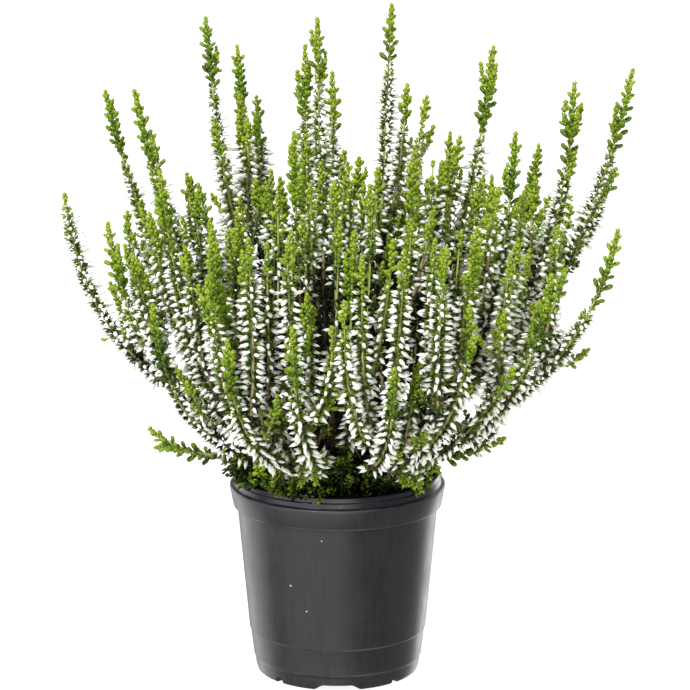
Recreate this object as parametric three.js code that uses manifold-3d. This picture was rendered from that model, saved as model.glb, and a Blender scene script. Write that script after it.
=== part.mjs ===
// Potted white bud heather: one plant in a round black nursery pot of peat.
// Millimetres, +Z up. The origin is the centre of the pot's underside, and -Y is the front.
// Every main shoot is one curve from the woody burl to its tip. The tables below give the tips,
// and rules give the rest: the curves, the side shoots, the leaf sprays and the room that each
// mass of foliage keeps.

import * as THREE from 'three';
import { mergeVertices } from 'three/addons/utils/BufferGeometryUtils.js';
import Module from 'manifold-3d';

const wasm = await Module();
wasm.setup();

// Pot, from its foot to the thin collar inside the lip
const potSides = 36;
const potWall = 1.7;
const footRadius = 41.5;
const footRound = 1.1;
const padRadius = 12;
const footRingInside = 36;
const footRecess = 3;
const floorTop = 5.2;
const heelHeight = 8.2;
const heelRadius = 43.1;
const stepHeight = 22.1;
const stepRadius = 44.8;
const stepSize = 0.5;
const shoulderRadius = 51.2;
const bandHeight = 87.4;
const bandRadius = 53.2;
const lipHeight = 98.1;
const lipRadius = 55;
const lipEdge = 1.2;
const collarHeight = 103.8;
const collarRadius = 52.9;
const collarTier = 101;
const collarTierStep = 0.6;
const wideNotch = { count: 4, turn: 0, foot: 26, top: 14, high: 2.9 };
const drainNotch = { count: 4, turn: 45, foot: 5, top: 4, high: 3 };
const notchDeep = 14;
const notchBelow = 1;

// Peat, domed a little towards the middle
const soilSides = 20;
const soilGap = 0.3;
const soilEdgeHeight = 98.5;
const soilRingRadius = 34;
const soilRingHeight = 99.6;
const soilTopRadius = 18;
const soilTop = 100;

// Burl: the short woody stock that all stems spring from
const burlCentre = 111;
const burlRadius = 12;
const burlSides = 14;
const burlRows = 5;
const burlWaistRadius = 9.5;
const burlWaistHeight = 103.4;
const burlFlareRadius = 14;
const seatGap = 0.3;

// Main shoots: how high a curve turns up, and how far apart the stems leave the burl
const tallHeelLift = 0.24;
const lowHeelLift = 0.1;
const stemSpacing = 4.6;
const spreadPasses = 60;
const pathSteps = 9;

// The bare bough of a tall shoot takes this share of it
const boughShare = 0.4;
const boughSides = 4;
const boughSteps = 5;
const boughRadius = 1.8;
const boughTipRadius = 1.4;

// Shoots are three-sided: bare stem first, then a slim leafy spike
const shootSides = 3;
const mainStemRadius = 1.4;
const sideStemRadius = 1.2;
const spikeRadius = 2.3;
const spikeTipRadius = 0.9;
const spikeSwell = 0.15;
const spikeNarrowFrom = 0.75;
const leafyFrom = { tall: 0.02, low: 0.25, side: 0.15 };

// Side shoots fork from a main shoot, swing out and rise beside it
const sideForkLow = 0.4;
const sideForkHigh = 0.62;
const sideTipLow = 0.74;
const sideTipHigh = 0.93;
const sideReachLow = 13;
const sideReachHigh = 24;
const sideHeelShare = 0.45;
const sideHeelSwing = 0.85;
const sidePathSteps = 6;
const sideTries = 16;
const sideClear = 8;
const sideRoom = 100;
const sideRoomShare = 0.94;
const oneSideRise = 60;
const twoSidesRise = 150;
const goldenAngle = THREE.MathUtils.degToRad(137.5);

// Leaf sprays, larger than life, set in turn on the three faces of a shoot
const leafLength = 15.5;
const leafWidth = 6;
const leafKeel = 1.9;
const leafWaist = 0.42;
const leafSink = 0.2;
const leafLean = THREE.MathUtils.degToRad(36);
const leafSpacing = 14;
const leafSeat = 0.3;
const leafSwing = 0.2;
const leafGap = 0.45;
const leafFits = [1, 0.75];
const leavesPerStemStep = 2;
const mainLeafSeed = 101;
const sideLeafSeed = 301;
const mostSides = 4;
const rimClear = 2;

// Corners closer than these are one corner
const weldDistance = 1e-4;
const roundedTo = 1e-3;
const shortestEdge = 0.03;

// Tips of the main shoots that draw the crown: [across, deep, high, bend]. Bend is how far out
// the curve swings before it rises. Each has a bare bough, then its mass of foliage.
const tallShoots = [
  [-136, -5, 249, 0.92],
  [-119, 45, 294, 0.72],
  [-99, -30, 305, 0.72],
  [-112, -40, 241, 0.9],
  [-66, 20, 335, 0.8],
  [-52, 70, 314, 0.82],
  [-17, 85, 313, 0.8],
  [-10, 25, 334, 0.8],
  [-3, 115, 294, 0.85],
  [27, 10, 343, 0.85],
  [59, 75, 268, 0.8],
  [79, 30, 319, 0.76],
  [106, 85, 259, 0.85],
  [117, -10, 306, 0.95],
  [150, 35, 306, 0.84],
  [137, -40, 237, 0.92],
];

// Tips of the shorter shoots, which spring leafy from the burl
const lowShoots = [
  [-77, 75, 245, 0.88],
  [35, 100, 262, 0.85],
  [-85, -60, 270, 0.88],
  [-21, -45, 288, 0.85],
  [38, -40, 280, 0.85],
  [87, -35, 285, 0.9],
  [-52, -95, 195, 0.95],
  [-21, -105, 203, 0.95],
  [8, -75, 244, 0.92],
  [27, -110, 184, 0.95],
  [63, -90, 211, 0.95],
  [67, -70, 245, 0.9],
  [-60, -75, 245, 0.92],
  [-89, -65, 205, 0.93],
  [103, -65, 220, 0.94],
  [-94, -20, 131, 0.8],
  [84, -12, 124, 0.8],
];

// The far side is a fan of such short shoots, in degrees round the pot
const farShoots = {
  count: 8,
  from: 35,
  to: 145,
  reach: 116,
  reachStep: 14,
  high: 214,
  highStep: 26,
  bend: 0.9,
};

const potFinish = { color: '#2f3033', roughness: 0.42 };
const soilFinish = { color: '#2b2018', roughness: 0.95 };
const burlFinish = { color: '#4a3524', roughness: 0.9 };
const boughFinish = { color: '#5f4630', roughness: 0.85 };
const leafFinish = { color: '#5f8a35', roughness: 0.7 };

const seedStep = 7919;
const seedStart = 12345;
const randomFactor = 1664525;
const randomStep = 1013904223;
const randomRange = 2 ** 32;

// The same seed always gives the same numbers between 0 and 1
function seededRandom(seed) {
  let state = (Math.imul(seed, seedStep) + seedStart) >>> 0;
  return () => {
    state = (Math.imul(state, randomFactor) + randomStep) >>> 0;
    return state / randomRange;
  };
}

function mix(low, high, share) {
  return low + (high - low) * share;
}

// A closed three.js geometry as a solid
function toSolid(geometry) {
  const bare = geometry.index ? geometry.toNonIndexed() : geometry.clone();
  bare.deleteAttribute('normal');
  bare.deleteAttribute('uv');
  const merged = mergeVertices(bare, weldDistance);
  const corners = merged.index.array;
  const triangles = [];
  for (let i = 0; i < corners.length; i += 3) {
    const [a, b, c] = [corners[i], corners[i + 1], corners[i + 2]];
    if (a !== b && b !== c && c !== a) {
      triangles.push(a, b, c);
    }
  }
  const vertProperties = new Float32Array(merged.attributes.position.array);
  return new wasm.Manifold(new wasm.Mesh({
    numProp: 3,
    vertProperties,
    triVerts: new Uint32Array(triangles),
  }));
}

// Whether a solid is one closed body with exactly two faces at every edge
function isSound(solid) {
  if (solid.decompose().length !== 1) {
    return false;
  }
  const { vertProperties, triVerts } = solid.getMesh();
  const geometry = new THREE.BufferGeometry();
  geometry.setAttribute('position', new THREE.BufferAttribute(vertProperties, 3));
  geometry.setIndex(new THREE.BufferAttribute(triVerts, 1));
  const corners = mergeVertices(geometry, roundedTo).index.array;
  const edges = new Map();
  for (let i = 0; i < corners.length; i += 3) {
    for (let side = 0; side < 3; side += 1) {
      const ends = [corners[i + side], corners[i + (side + 1) % 3]].sort((a, b) => a - b);
      edges.set(ends.join(' '), (edges.get(ends.join(' ')) ?? 0) + 1);
    }
  }
  return [...edges.values()].every((faces) => faces === 2);
}

// A solid with more pieces fused on. A piece that would leave a loose scrap, a sealed hollow
// or a bare edge is left out.
function fuse(solid, pieces) {
  return pieces.reduce((whole, piece) => {
    const grown = whole.add(toSolid(piece)).simplify(shortestEdge);
    return isSound(grown) ? grown : whole;
  }, solid);
}

function toMesh(name, solid, finish) {
  const { vertProperties, triVerts } = solid.getMesh();
  const geometry = new THREE.BufferGeometry();
  geometry.setAttribute('position', new THREE.BufferAttribute(vertProperties, 3));
  geometry.setIndex(new THREE.BufferAttribute(triVerts, 1));
  const flat = geometry.toNonIndexed();
  flat.computeVertexNormals();
  const mesh = new THREE.Mesh(flat, new THREE.MeshStandardMaterial({ ...finish, metalness: 0 }));
  mesh.name = name;
  return mesh;
}

// A profile of [radius, height] turned about the Z axis
function turned(profile, sides) {
  const points = profile.map(([radius, height]) => new THREE.Vector2(radius, height));
  return new THREE.LatheGeometry(points, sides).rotateX(Math.PI / 2);
}

// The pot's outside at the level of its floor
const floorRadius = mix(footRadius, heelRadius, floorTop / heelHeight);

// A bar that cuts one notch through the ring under the pot
function notchBar({ foot, top, high }, turn) {
  const gate = new THREE.Shape();
  gate.moveTo(-foot / 2, -notchBelow);
  gate.lineTo(foot / 2, -notchBelow);
  gate.lineTo(foot / 2, 0);
  gate.lineTo(top / 2, high);
  gate.lineTo(-top / 2, high);
  gate.lineTo(-foot / 2, 0);
  gate.closePath();
  const bar = new THREE.ExtrudeGeometry(gate, { depth: notchDeep, bevelEnabled: false });
  bar.rotateX(Math.PI / 2);
  bar.translate(0, notchDeep / 2 - footRadius, 0);
  bar.rotateZ(turn);
  return bar;
}

function makePot() {
  const tierRadius = collarRadius - collarTierStep;
  const profile = [
    [0, 0],
    [padRadius, 0],
    [padRadius, footRecess],
    [footRingInside, footRecess],
    [footRingInside, 0],
    [footRadius - footRound, 0],
    [footRadius, footRound],
    [heelRadius, heelHeight],
    [stepRadius, stepHeight],
    [stepRadius + stepSize, stepHeight + stepSize],
    [shoulderRadius, bandHeight - stepSize],
    [bandRadius, bandHeight],
    [lipRadius, lipHeight - lipEdge],
    [lipRadius, lipHeight],
    [collarRadius, lipHeight + stepSize],
    [collarRadius, collarTier],
    [tierRadius, collarTier + stepSize],
    [tierRadius, collarHeight],
    [tierRadius - potWall, collarHeight],
    [tierRadius - potWall, lipHeight - lipEdge],
    [shoulderRadius - potWall, bandHeight - stepSize],
    [stepRadius - potWall, stepHeight],
    [heelRadius - potWall, heelHeight],
    [floorRadius - potWall, floorTop],
    [0, floorTop],
  ];
  let pot = toSolid(turned(profile, potSides));
  for (const notch of [wideNotch, drainNotch]) {
    for (let i = 0; i < notch.count; i += 1) {
      const turn = THREE.MathUtils.degToRad(notch.turn + (360 / notch.count) * i);
      pot = pot.subtract(toSolid(notchBar(notch, turn)));
    }
  }
  return toMesh('pot', pot, potFinish);
}

function makeSoil() {
  const inside = potWall + soilGap;
  const edgeRadius = collarRadius - collarTierStep - inside;
  const profile = [
    [0, floorTop + soilGap],
    [floorRadius - inside, floorTop + soilGap],
    [heelRadius - inside, heelHeight],
    [stepRadius - inside, stepHeight],
    [shoulderRadius - inside, bandHeight - stepSize],
    [edgeRadius, lipHeight - lipEdge],
    [edgeRadius, soilEdgeHeight],
    [soilRingRadius, soilRingHeight],
    [soilTopRadius, soilTop],
    [0, soilTop],
  ];
  return toMesh('soil', toSolid(turned(profile, soilSides)), soilFinish);
}

// The burl flares at the peat, narrows to a waist and swells to a round head
function makeTrunk() {
  const profile = [
    [0, soilTop + seatGap],
    [burlFlareRadius, soilTop + seatGap],
    [burlWaistRadius, burlWaistHeight],
  ];
  const lowest = Math.PI - Math.acos((burlCentre - burlWaistHeight) / burlRadius);
  for (let row = 1; row < burlRows; row += 1) {
    const angle = mix(lowest, 0, row / burlRows);
    profile.push([burlRadius * Math.sin(angle), burlCentre + burlRadius * Math.cos(angle)]);
  }
  profile.push([0, burlCentre + burlRadius]);
  return toMesh('trunk', toSolid(turned(profile, burlSides)), burlFinish);
}

// Tips of all main shoots: the tall ones, the low ones and the fan on the far side
function tipRows() {
  const rows = [...tallShoots, ...lowShoots];
  for (let i = 0; i < farShoots.count; i += 1) {
    const turn = mix(farShoots.from, farShoots.to, i / (farShoots.count - 1));
    const angle = THREE.MathUtils.degToRad(turn);
    const reach = farShoots.reach + farShoots.reachStep * (i % 2);
    const high = farShoots.high + farShoots.highStep * (((i * 2) % 3) - 1);
    rows.push([reach * Math.cos(angle), reach * Math.sin(angle), high, farShoots.bend]);
  }
  return rows;
}

// Ways out of the burl that crowd each other slide apart
function spreadApart(ways) {
  for (let pass = 0; pass < spreadPasses; pass += 1) {
    for (let i = 0; i < ways.length; i += 1) {
      for (let j = i + 1; j < ways.length; j += 1) {
        const between = ways[j].clone().sub(ways[i]);
        const lack = stemSpacing - between.length() * burlRadius;
        if (lack > 0) {
          between.setLength(lack / burlRadius / 2);
          ways[i].sub(between).normalize();
          ways[j].add(between).normalize();
        }
      }
    }
  }
}

// The curve of each main shoot, from just off the burl to its tip
function mainCurves() {
  const burl = new THREE.Vector3(0, 0, burlCentre);
  const tips = [];
  const heels = [];
  for (const [i, [across, deep, high, bend]] of tipRows().entries()) {
    const lift = i < tallShoots.length ? tallHeelLift : lowHeelLift;
    tips.push(new THREE.Vector3(across, deep, high));
    heels.push(new THREE.Vector3(across * bend, deep * bend, mix(burlCentre, high, lift)));
  }
  const ways = heels.map((heel) => heel.clone().sub(burl).normalize());
  spreadApart(ways);
  return tips.map((tip, i) => {
    const foot = burl.clone().addScaledVector(ways[i], burlRadius + seatGap);
    return new THREE.QuadraticBezierCurve3(foot, heels[i], tip);
  });
}

// Points along a stretch of a curve, the last one included
function pointsAlong(curve, from, to, steps) {
  const points = [];
  for (let i = 0; i <= steps; i += 1) {
    points.push(curve.getPoint(mix(from, to, i / steps)));
  }
  return points;
}

// The directions across a flat curve: along it, out in its own plane, and square to that plane
function frameAt(curve, t) {
  const along = curve.getTangent(t);
  const square = curve.v1.clone().sub(curve.v0).cross(curve.v2.clone().sub(curve.v0)).normalize();
  const out = along.clone().cross(square);
  return { along, out, square };
}

// A limb along a stretch of a flat curve, with flat ends. Its thickness is a rule of the
// share of the stretch.
function limb(curve, from, to, thickness, sides, steps) {
  const rod = new THREE.CylinderGeometry(1, 1, 1, sides, steps);
  const corners = rod.attributes.position;
  for (let i = 0; i < corners.count; i += 1) {
    const share = corners.getY(i) + 0.5;
    const t = mix(from, to, share);
    const radius = thickness(share);
    const { out, square } = frameAt(curve, t);
    const spot = curve.getPoint(t);
    spot.addScaledVector(out, corners.getX(i) * radius).addScaledVector(square, corners.getZ(i) * radius);
    corners.setXYZ(i, spot.x, spot.y, spot.z);
  }
  return rod;
}

// Thickness of a shoot that is bare stem below and a slim leafy spike above
function spikeThickness(stemRadius, leafyFrom) {
  return (share) => {
    const swell = THREE.MathUtils.smoothstep(share, leafyFrom, leafyFrom + spikeSwell);
    const narrow = THREE.MathUtils.smoothstep(share, spikeNarrowFrom, 1);
    return mix(mix(stemRadius, spikeRadius, swell), spikeTipRadius, narrow);
  };
}

// Nearest distance from a point to a row of joined points
function distanceTo(path, point) {
  let nearest = Infinity;
  const line = new THREE.Line3();
  const spot = new THREE.Vector3();
  for (let i = 1; i < path.length; i += 1) {
    line.set(path[i - 1], path[i]);
    line.closestPointToPoint(point, true, spot);
    nearest = Math.min(nearest, spot.distanceTo(point));
  }
  return nearest;
}

// Side shoots of one main shoot: each forks off, swings out and rises beside it, clear of all
// that the other masses have grown so far. Those of an outer shoot stay inside its own reach.
function sideShoots(curve, seed, others) {
  const rise = curve.v2.z - burlCentre;
  const count = Number(rise > oneSideRise) + Number(rise > twoSidesRise);
  const room = Math.max(sideRoom, sideRoomShare * Math.hypot(curve.v2.x, curve.v2.y));
  const random = seededRandom(seed);
  const grown = [];
  let angle = random() * Math.PI * 2;
  for (let attempt = 0; attempt < sideTries && grown.length < count; attempt += 1) {
    const fork = mix(sideForkLow, sideForkHigh, random());
    const top = mix(sideTipLow, sideTipHigh, random());
    const reach = mix(sideReachLow, sideReachHigh, random());
    angle += goldenAngle;
    const swing = new THREE.Vector3(Math.cos(angle), Math.sin(angle), 0).multiplyScalar(reach);
    const root = curve.getPoint(fork);
    const tip = curve.getPoint(top).add(swing);
    const heel = curve.getPoint(mix(fork, top, sideHeelShare)).addScaledVector(swing, sideHeelSwing);
    const side = new THREE.QuadraticBezierCurve3(root, heel, tip);
    const path = pointsAlong(side, 0, 1, sidePathSteps);
    const inside = Math.hypot(tip.x, tip.y) < room;
    if (inside && path.every((point) => others.every((other) => distanceTo(other, point) > sideClear))) {
      grown.push({ curve: side, path });
    }
  }
  return grown;
}

// A leaf spray: a long keeled blade with six faces, its root sunk in the shoot
function leafCorners(root, along, across, size) {
  const outer = across.clone().cross(along).normalize();
  const waist = root.clone().addScaledVector(along, leafLength * leafWaist * size);
  return {
    root: root.clone().addScaledVector(along, -leafSink),
    tip: root.clone().addScaledVector(along, leafLength * size),
    right: waist.clone().addScaledVector(across, leafWidth / 2 * size),
    left: waist.clone().addScaledVector(across, -leafWidth / 2 * size),
    keel: waist.clone().addScaledVector(outer, leafKeel),
  };
}

function leafGeometry({ root, tip, right, left, keel }) {
  return new THREE.BufferGeometry().setFromPoints([
    tip, right, left, tip, left, keel, tip, keel, right,
    root, left, right, root, keel, left, root, right, keel,
  ]);
}

// Leaf sprays along a shoot, set in turn on the faces between its three edges. One that would
// leave its room is tried smaller, then skipped.
function leavesAlong(curve, from, count, seed, hasRoom) {
  const random = seededRandom(seed);
  const leaves = [];
  for (let i = 0; i < count; i += 1) {
    const t = mix(from, 1, (i + leafSeat) / count);
    const face = ((i % shootSides) + 0.5) / shootSides;
    const angle = 2 * Math.PI * face + leafSwing * (random() - 0.5);
    const { along, out, square } = frameAt(curve, t);
    const away = out.multiplyScalar(Math.sin(angle)).addScaledVector(square, Math.cos(angle));
    const across = along.clone().cross(away).normalize();
    const lean = along.multiplyScalar(Math.cos(leafLean)).addScaledVector(away, Math.sin(leafLean));
    for (const size of leafFits) {
      const corners = leafCorners(curve.getPoint(t), lean, across, size);
      const tested = [corners.tip, corners.left, corners.right, corners.keel];
      if (tested.every(hasRoom)) {
        leaves.push(leafGeometry(corners));
        break;
      }
    }
  }
  return leaves;
}

// The main shoots with their side shoots, grown in turn. Each keeps the paths of its curves.
function growShoots() {
  const shoots = mainCurves().map((curve, i) => {
    const tall = i < tallShoots.length;
    return { curve, tall, sides: [], paths: [pointsAlong(curve, 0, 1, pathSteps)] };
  });
  shoots.forEach((shoot, i) => {
    const others = shoots.filter((other) => other !== shoot).flatMap((other) => other.paths);
    shoot.sides = sideShoots(shoot.curve, i + 1, others);
    shoot.paths.push(...shoot.sides.map((side) => side.path));
  });
  return shoots;
}

// The room of a mass: nearer to its own shoots than to any other's, and clear of the burl, of
// its own bough and of the pot's rim
function roomOf(shoot, shoots, boughPath) {
  const burl = new THREE.Vector3(0, 0, burlCentre);
  const others = shoots.filter((other) => other !== shoot).flatMap((other) => other.paths);
  return (point) => {
    const own = Math.min(...shoot.paths.map((path) => distanceTo(path, point)));
    const overPot = Math.hypot(point.x, point.y) < lipRadius + rimClear;
    return others.every((path) => distanceTo(path, point) > own + 2 * leafGap)
      && distanceTo(boughPath, point) > boughRadius + leafGap
      && burl.distanceTo(point) > burlRadius + leafGap
      && (point.z > collarHeight + rimClear || !overPot);
  };
}

function makeBough(name, { curve }) {
  const thickness = (share) => mix(boughRadius, boughTipRadius, share);
  const bough = limb(curve, 0, boughShare, thickness, boughSides, boughSteps);
  return toMesh(name, toSolid(bough), boughFinish);
}

// One leafy shoot as loose pieces: its stem, then its leaf sprays
function leafyPieces(curve, from, stemRadius, bareShare, seed, hasRoom) {
  const count = Math.round((curve.getLength() * (1 - from)) / leafSpacing);
  const steps = Math.ceil(count / leavesPerStemStep);
  const stem = limb(curve, from, 1, spikeThickness(stemRadius, bareShare), shootSides, steps);
  return [stem, ...leavesAlong(curve, from, count, seed, hasRoom)];
}

// A mass: the main shoot above its bough, or from the burl up, with its side shoots fused on
function makeMass(name, shoot, shoots, order) {
  const { curve, tall, sides } = shoot;
  const boughPath = pointsAlong(curve, 0, tall ? boughShare : 0, boughSteps);
  const hasRoom = roomOf(shoot, shoots, boughPath);
  const from = tall ? boughShare + seatGap / curve.getLength() : 0;
  const bareShare = tall ? leafyFrom.tall : leafyFrom.low;
  const mainSeed = mainLeafSeed + order;
  const [stem, ...pieces] = leafyPieces(curve, from, mainStemRadius, bareShare, mainSeed, hasRoom);
  sides.forEach((side, i) => {
    const seed = sideLeafSeed + order * mostSides + i;
    pieces.push(...leafyPieces(side.curve, 0, sideStemRadius, leafyFrom.side, seed, hasRoom));
  });
  return toMesh(name, fuse(toSolid(stem), pieces), leafFinish);
}

const object = new THREE.Group();
object.add(makePot(), makeSoil(), makeTrunk());
const shoots = growShoots();
shoots.forEach((shoot, i) => {
  const number = String(i + 1).padStart(2, '0');
  if (shoot.tall) {
    object.add(makeBough(`bough_${number}`, shoot));
  }
  object.add(makeMass(`foliage_${number}`, shoot, shoots, i));
});

export default object;
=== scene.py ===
import math
import bmesh
import bpy
import numpy as np
from mathutils import Matrix


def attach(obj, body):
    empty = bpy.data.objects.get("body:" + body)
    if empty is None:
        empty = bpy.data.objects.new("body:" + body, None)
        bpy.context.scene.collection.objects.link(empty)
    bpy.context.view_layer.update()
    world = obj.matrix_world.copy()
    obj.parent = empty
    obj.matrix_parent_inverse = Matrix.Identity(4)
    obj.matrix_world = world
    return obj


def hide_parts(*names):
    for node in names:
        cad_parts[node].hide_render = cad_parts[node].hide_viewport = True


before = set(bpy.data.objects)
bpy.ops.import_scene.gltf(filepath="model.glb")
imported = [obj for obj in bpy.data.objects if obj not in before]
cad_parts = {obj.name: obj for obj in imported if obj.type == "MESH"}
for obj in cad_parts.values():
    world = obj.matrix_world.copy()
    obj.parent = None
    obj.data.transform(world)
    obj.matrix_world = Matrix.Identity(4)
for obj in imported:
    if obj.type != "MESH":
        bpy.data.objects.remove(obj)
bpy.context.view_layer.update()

mm = 0.001
fullTurn = 2 * math.pi
scene = bpy.context.scene
scene.view_settings.view_transform = "Standard"


def nodeMaths(operation, swapped=False):
    def operator(self, other):
        first, second = (other, self) if swapped else (self, other)
        return self.sheet.maths(operation, first, second)
    return operator


class Socket:  # one output of a node, so that node maths reads as a sum
    def __init__(self, sheet, out):
        self.sheet = sheet
        self.out = out

    def __getitem__(self, name):  # another output of the same node
        return Socket(self.sheet, self.out.node.outputs[name])

    __add__ = __radd__ = nodeMaths("ADD")
    __mul__ = __rmul__ = nodeMaths("MULTIPLY")
    __sub__ = nodeMaths("SUBTRACT")
    __rsub__ = nodeMaths("SUBTRACT", swapped=True)
    __rtruediv__ = nodeMaths("DIVIDE", swapped=True)
    __gt__ = nodeMaths("GREATER_THAN")
    __lt__ = nodeMaths("LESS_THAN")


class NodeSheet:  # a node tree while it is drawn
    def __init__(self, tree):
        self.tree = tree
        tree.nodes.clear()

    def node(self, kind, values=None, out=0, **settings):
        made = self.tree.nodes.new(kind)
        for name, value in settings.items():
            setattr(made, name, value)
        for key, value in (values or {}).items():
            if isinstance(value, Socket):
                self.tree.links.new(value.out, made.inputs[key])
            else:
                made.inputs[key].default_value = value
        return Socket(self, made.outputs[out]) if len(made.outputs) else made

    def maths(self, operation, first, second):
        return self.node("ShaderNodeMath", {0: first, 1: second}, operation=operation)

    def vectors(self, operation, first, second):
        return self.node("ShaderNodeVectorMath", {0: first, 1: second}, operation=operation)

    def scaled(self, vector, size):
        return self.node("ShaderNodeVectorMath", {0: vector, "Scale": size}, operation="SCALE")

    def blended(self, share, first, second):
        return self.node("ShaderNodeMix", {0: share, 6: first, 7: second}, 2, data_type="RGBA")

    def stretched(self, vector, scale):
        return self.vectors("MULTIPLY", vector, scale)

    def noise(self, vector, scale, detail=2):
        return self.node("ShaderNodeTexNoise", {"Vector": vector, "Scale": scale, "Detail": detail})

    def ranged(self, value, low, high, start=0, end=1):
        return self.node("ShaderNodeMapRange", {0: value, 1: low, 2: high, 3: start, 4: end})

    def part(self, vector, axis):
        return self.node("ShaderNodeSeparateXYZ", {0: vector}, out=axis)

    def layer(self, name):  # a value that the points of a mesh carry
        return self.node("GeometryNodeInputNamedAttribute", {"Name": name}, data_type="FLOAT")

    def random(self, low, high, seed):
        return self.node("FunctionNodeRandomValue", {2: low, 3: high, "Seed": seed}, 1, data_type="FLOAT")

    def moved(self, geometry, offset):
        return self.node("GeometryNodeSetPosition", {"Geometry": geometry, "Offset": offset})

    def placed(self, thing, points, values):  # a copy of a thing on each point
        shape = self.node("GeometryNodeObjectInfo", {"Object": thing}, "Geometry")
        return self.node("GeometryNodeInstanceOnPoints", {"Points": points, "Instance": shape, **values})


class Finish(NodeSheet):  # a Principled finish, and what varies over its surface
    def __init__(self, name, values):
        self.material = bpy.data.materials.new(name)
        self.material.use_nodes = True
        super().__init__(self.material.node_tree)
        self.shader = self.node("ShaderNodeBsdfPrincipled", values)
        self.node("ShaderNodeOutputMaterial", {"Surface": self.shader})
        self.place = self.node("ShaderNodeTexCoord", out="Object")

    def feed(self, name, value):
        self.tree.links.new(value.out, self.shader.out.node.inputs[name])

    def roughen(self, height, strength, deep):  # a relief, with its depth in millimetres
        values = {"Strength": strength, "Distance": deep * mm, "Height": height}
        self.feed("Normal", self.node("ShaderNodeBump", values))


def newPiece(name, mesh, finish=None):
    piece = bpy.data.objects.new(name, mesh)
    scene.collection.objects.link(piece)
    if finish:
        mesh.materials.clear()
        mesh.materials.append(finish)
    return piece


def settle(piece, slot, nodes=()):
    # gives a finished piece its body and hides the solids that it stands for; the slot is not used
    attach(piece, "root")
    if nodes:
        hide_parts(*nodes)
    faces = sum(len(face.vertices) - 2 for face in piece.data.polygons)
    print(piece.name, faces, "triangles")


def smoothOver(mesh, angle=None):
    mesh.shade_smooth()
    if angle is not None:
        mesh.set_sharp_from_angle(angle=math.radians(angle))


def meshOf(name, draft):
    mesh = bpy.data.meshes.new(name)
    draft.to_mesh(mesh)
    draft.free()
    return mesh


def joined(name, meshes):
    draft = bmesh.new()
    for mesh in meshes:
        draft.from_mesh(mesh)
    return meshOf(name, draft)


# the camera stands where the photograph was taken from
view = {"place": (3.85, -1500, 513.4), "down": 12.9, "focal": 3042, "frame": 690, "sensor": 36}


def makeCamera():
    lens = bpy.data.cameras.new("camera")
    lens.sensor_width = view["sensor"]
    lens.lens = view["focal"] / view["frame"] * view["sensor"]
    camera = bpy.data.objects.new("camera", lens)
    camera.location = [x * mm for x in view["place"]]
    camera.rotation_euler = (math.radians(90 - view["down"]), 0, 0)
    scene.collection.objects.link(camera)
    scene.camera = camera


# a white lit table under wide soft lamps, with tall cards that only the pot mirrors
studio = {
    "floorSize": 16,
    "floorColour": (0.26, 0.26, 0.26, 1),
    "floorGlow": 0.9,
    "worldLow": 0.65,
    "worldHigh": 0.3,
    "horizon": 0.3,
    "suns": [  # turn from the camera, height above the table, strength, softness in degrees
        (-36, 48, 3.6, 12),
        (30, 38, 0.8, 40),
        (180, 55, 1.1, 50),
    ],
    "cards": [  # place, width and height in metres, strength in watts
        ((-0.52, -1.0, 0), 2.5, 1.6, 31),
        ((0.06, -1.15, 0), 0.14, 1.6, 2.2),
        ((-0.84, 0.62, 0), 1.0, 1.6, 8.5),
        ((0.58, 0.88, 0), 0.42, 1.6, 5.5),
    ],
}


def makeLamp(kind, name, place, turn, energy):
    lamp = bpy.data.lights.new(name, kind)
    lamp.energy = energy
    holder = bpy.data.objects.new(name, lamp)
    holder.location = place
    holder.rotation_euler = turn
    scene.collection.objects.link(holder)
    return lamp, holder


def makeStudio():
    size = studio["floorSize"] / 2
    mesh = bpy.data.meshes.new("floor")
    corners = [(-size, -size, 0), (size, -size, 0), (size, size, 0), (-size, size, 0)]
    mesh.from_pydata(corners, [], [(0, 1, 2, 3)])
    finish = Finish("table", {
        "Base Color": studio["floorColour"], "Roughness": 0.6, "Emission Color": (1, 1, 1, 1),
        "Emission Strength": studio["floorGlow"]})
    floor = newPiece("floor", mesh, finish.material)
    floor.visible_glossy = False  # so that the pot mirrors the cards and not the bright table
    for turn, height, strength, softness in studio["suns"]:
        tilt = (math.radians(90 - height), 0, math.radians(turn))
        lamp, holder = makeLamp("SUN", "sun", (0, 0, 2), tilt, strength)
        lamp.angle = math.radians(softness)
    world = bpy.data.worlds.new("studio")
    world.use_nodes = True
    scene.world = world
    sheet = NodeSheet(world.node_tree)
    way = sheet.node("ShaderNodeTexCoord", out="Generated")
    height = sheet.part(way, "Z")
    strength = sheet.ranged(height, 0, studio["horizon"], studio["worldLow"], studio["worldHigh"])
    glow = sheet.node("ShaderNodeBackground", {"Color": (1, 1, 1, 1), "Strength": strength})
    sheet.node("ShaderNodeOutputWorld", {"Surface": glow})


def makeCards(mirror):
    seen = bpy.data.collections.new("seen by the cards")
    seen.objects.link(mirror)
    for place, width, height, energy in studio["cards"]:
        turn = math.atan2(place[1], place[0]) + math.pi / 2
        lamp, holder = makeLamp("AREA", "card", place, (math.pi / 2, 0, turn), energy)
        lamp.shape = "RECTANGLE"
        lamp.size = width
        lamp.size_y = height
        holder.light_linking.receiver_collection = seen
        holder.light_linking.blocker_collection = seen
        holder.visible_camera = False


makeCamera()
makeStudio()
print("camera and studio made")


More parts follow.
